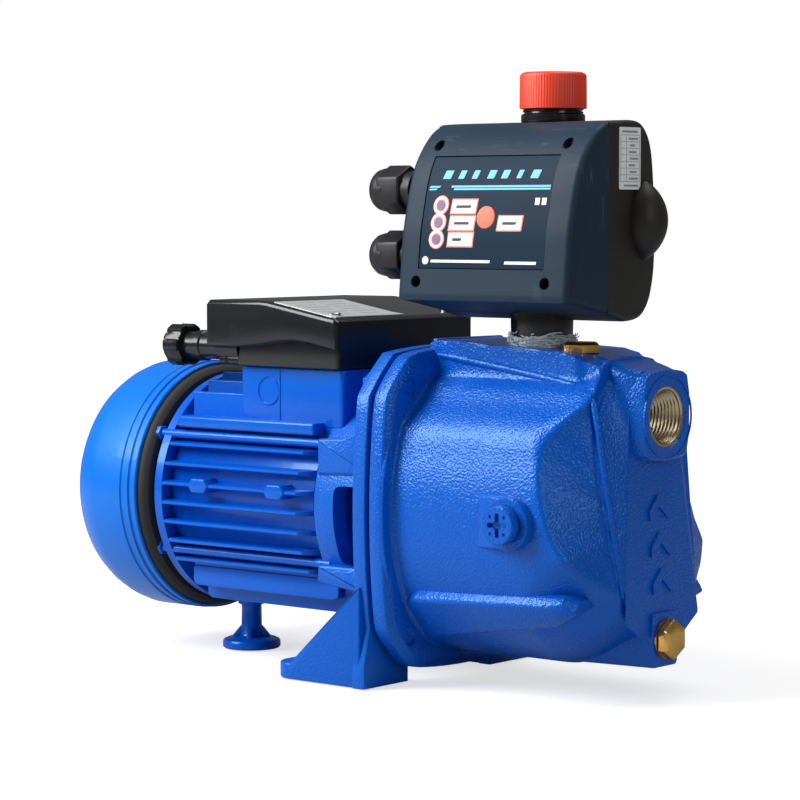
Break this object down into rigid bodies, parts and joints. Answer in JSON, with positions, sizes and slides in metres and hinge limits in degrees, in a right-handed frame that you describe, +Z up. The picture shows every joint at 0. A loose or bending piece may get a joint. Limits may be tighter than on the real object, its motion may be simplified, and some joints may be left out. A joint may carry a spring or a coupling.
{
  "type": "shallow well jet pump",
  "caption": "Self-priming jet pump: cast casing with built-in ejector, finned motor on a footed bracket, flow controller on the delivery port.",
  "frame": {"origin": "centre of the rear support foot's underside, on the floor", "axes": "+X along the shaft towards the suction port, +Y across, away from the controller's front, +Z up"},
  "size_m": [0.4033, 0.1598, 0.3449],
  "materials": {
    "casting_blue": "glossy hammered paint",
    "motor_blue": "smooth gloss paint",
    "gloss_black": "gloss",
    "slate_plastic": "satin, lightly scuffed",
    "brown_black": "satin",
    "cap_red": "satin",
    "button_red": "satin",
    "plug_brass": "turned",
    "bare_steel": "machined",
    "laminations": "dull",
    "winding_copper": "enamelled copper wire",
    "seal_rubber": "matt",
    "grey_plastic": "moulded",
    "board_green": "lacquered",
    "panel_blue": "printed film",
    "gasket_fibre": "fibre sheet"
  },
  "bodies": {
    "pump_body": {"pump_casing": "casting_blue", "casing_gasket": "gasket_fibre", "ejector_nozzle": "plug_brass", "venturi_tube": "grey_plastic", "diffuser": "grey_plastic", "seal_seat": "gasket_fibre", "motor_bracket": "casting_blue", "motor_frame": "motor_blue", "stator_core": "laminations", "stator_winding": "winding_copper", "front_bearing": "bare_steel", "rear_bearing": "bare_steel", "rear_shield": "motor_blue", "fan_cover": "motor_blue", "support_foot": "motor_blue", "terminal_box": "gloss_black", "terminal_lid": "gloss_black", "terminal_block": "grey_plastic", "run_capacitor": "gloss_black", "motor_gland": "gloss_black", "controller_body": "gloss_black", "controller_front": "slate_plastic", "controller_rear": "brown_black", "control_panel": "panel_blue", "circuit_board": "board_green", "diaphragm": "seal_rubber", "upper_gland": "gloss_black", "lower_gland": "gloss_black", "flange_bolt_1": "bare_steel", "tie_rod_1": "motor_blue", "lid_screw_1": "bare_steel", "cover_screw_1": "bare_steel", "flange_bolt_2": "bare_steel", "tie_rod_2": "motor_blue", "lid_screw_2": "bare_steel", "cover_screw_2": "bare_steel", "flange_bolt_3": "bare_steel", "tie_rod_3": "motor_blue", "lid_screw_3": "bare_steel", "cover_screw_3": "bare_steel", "flange_bolt_4": "bare_steel", "tie_rod_4": "motor_blue", "lid_screw_4": "bare_steel", "cover_screw_4": "bare_steel"},
    "rotor": {"motor_shaft": "bare_steel", "rotor_core": "laminations", "cooling_fan": "grey_plastic", "impeller": "grey_plastic", "impeller_nut": "plug_brass", "mechanical_seal": "bare_steel"},
    "reset": {"reset_button": "button_red"},
    "cap_lifter": {"cap_seal": "seal_rubber"},
    "cap": {"outlet_cap": "cap_red"},
    "priming_lifter": {"priming_washer": "winding_copper"},
    "priming": {"priming_plug": "plug_brass"},
    "drain_lifter": {"drain_washer": "winding_copper"},
    "drain": {"drain_plug": "plug_brass"},
    "filler_lifter": {"filler_seal": "seal_rubber"},
    "filler": {"filler_plug": "casting_blue"},
    "valve": {"check_valve": "grey_plastic"}
  },
  "joints": [
    {"name": "rotor_spin", "type": "hinge", "parent": "pump_body", "child": "rotor", "pos_m": [0.1, 0, 0.099], "axis": [1, 0, 0], "continuous": true},
    {"name": "reset_press", "type": "slide", "parent": "pump_body", "child": "reset", "axis": [0, 0.9857, -0.1683], "range_m": [0, 0.0015], "stiffness_N_per_m": 800, "springref_m": -0.0005},
    {"name": "valve_lift", "type": "slide", "parent": "pump_body", "child": "valve", "axis": [0, 0, 1], "range_m": [0, 0.008], "stiffness_N_per_m": 60, "springref_m": -0.002},
    {"name": "cap_lift", "type": "slide", "parent": "pump_body", "child": "cap_lifter", "axis": [0, 0, 1], "range_m": [0, 0.00808]},
    {"name": "cap_turn", "type": "hinge", "parent": "cap_lifter", "child": "cap", "pos_m": [0.2265, 0.003, 0.33], "axis": [0, 0, 1], "range_deg": [0, 1270]},
    {"name": "priming_lift", "type": "slide", "parent": "pump_body", "child": "priming_lifter", "axis": [0, 0, 1], "range_m": [0, 0.00802]},
    {"name": "priming_turn", "type": "hinge", "parent": "priming_lifter", "child": "priming", "pos_m": [0.255, -0.009, 0.19], "axis": [0, 0, 1], "range_deg": [0, 2170]},
    {"name": "drain_lift", "type": "slide", "parent": "pump_body", "child": "drain_lifter", "axis": [1, 0, 0], "range_m": [0, 0.00802]},
    {"name": "drain_turn", "type": "hinge", "parent": "drain_lifter", "child": "drain", "pos_m": [0.308, 0, 0.0345], "axis": [1, 0, 0], "range_deg": [0, 2170]},
    {"name": "filler_lift", "type": "slide", "parent": "pump_body", "child": "filler_lifter", "axis": [0, -1, 0], "range_m": [0, 0.00802]},
    {"name": "filler_turn", "type": "hinge", "parent": "filler_lifter", "child": "filler", "pos_m": [0.2535, -0.078, 0.0996], "axis": [0, -1, 0], "range_deg": [0, 2170]}
  ],
  "couplings": [
    {"joint": "cap_turn", "follows": "cap_lift", "rad_per_m": 2721.2},
    {"joint": "priming_turn", "follows": "priming_lift", "rad_per_m": 4699.5},
    {"joint": "drain_turn", "follows": "drain_lift", "rad_per_m": 4699.5},
    {"joint": "filler_turn", "follows": "filler_lift", "rad_per_m": 4699.5}
  ]
}
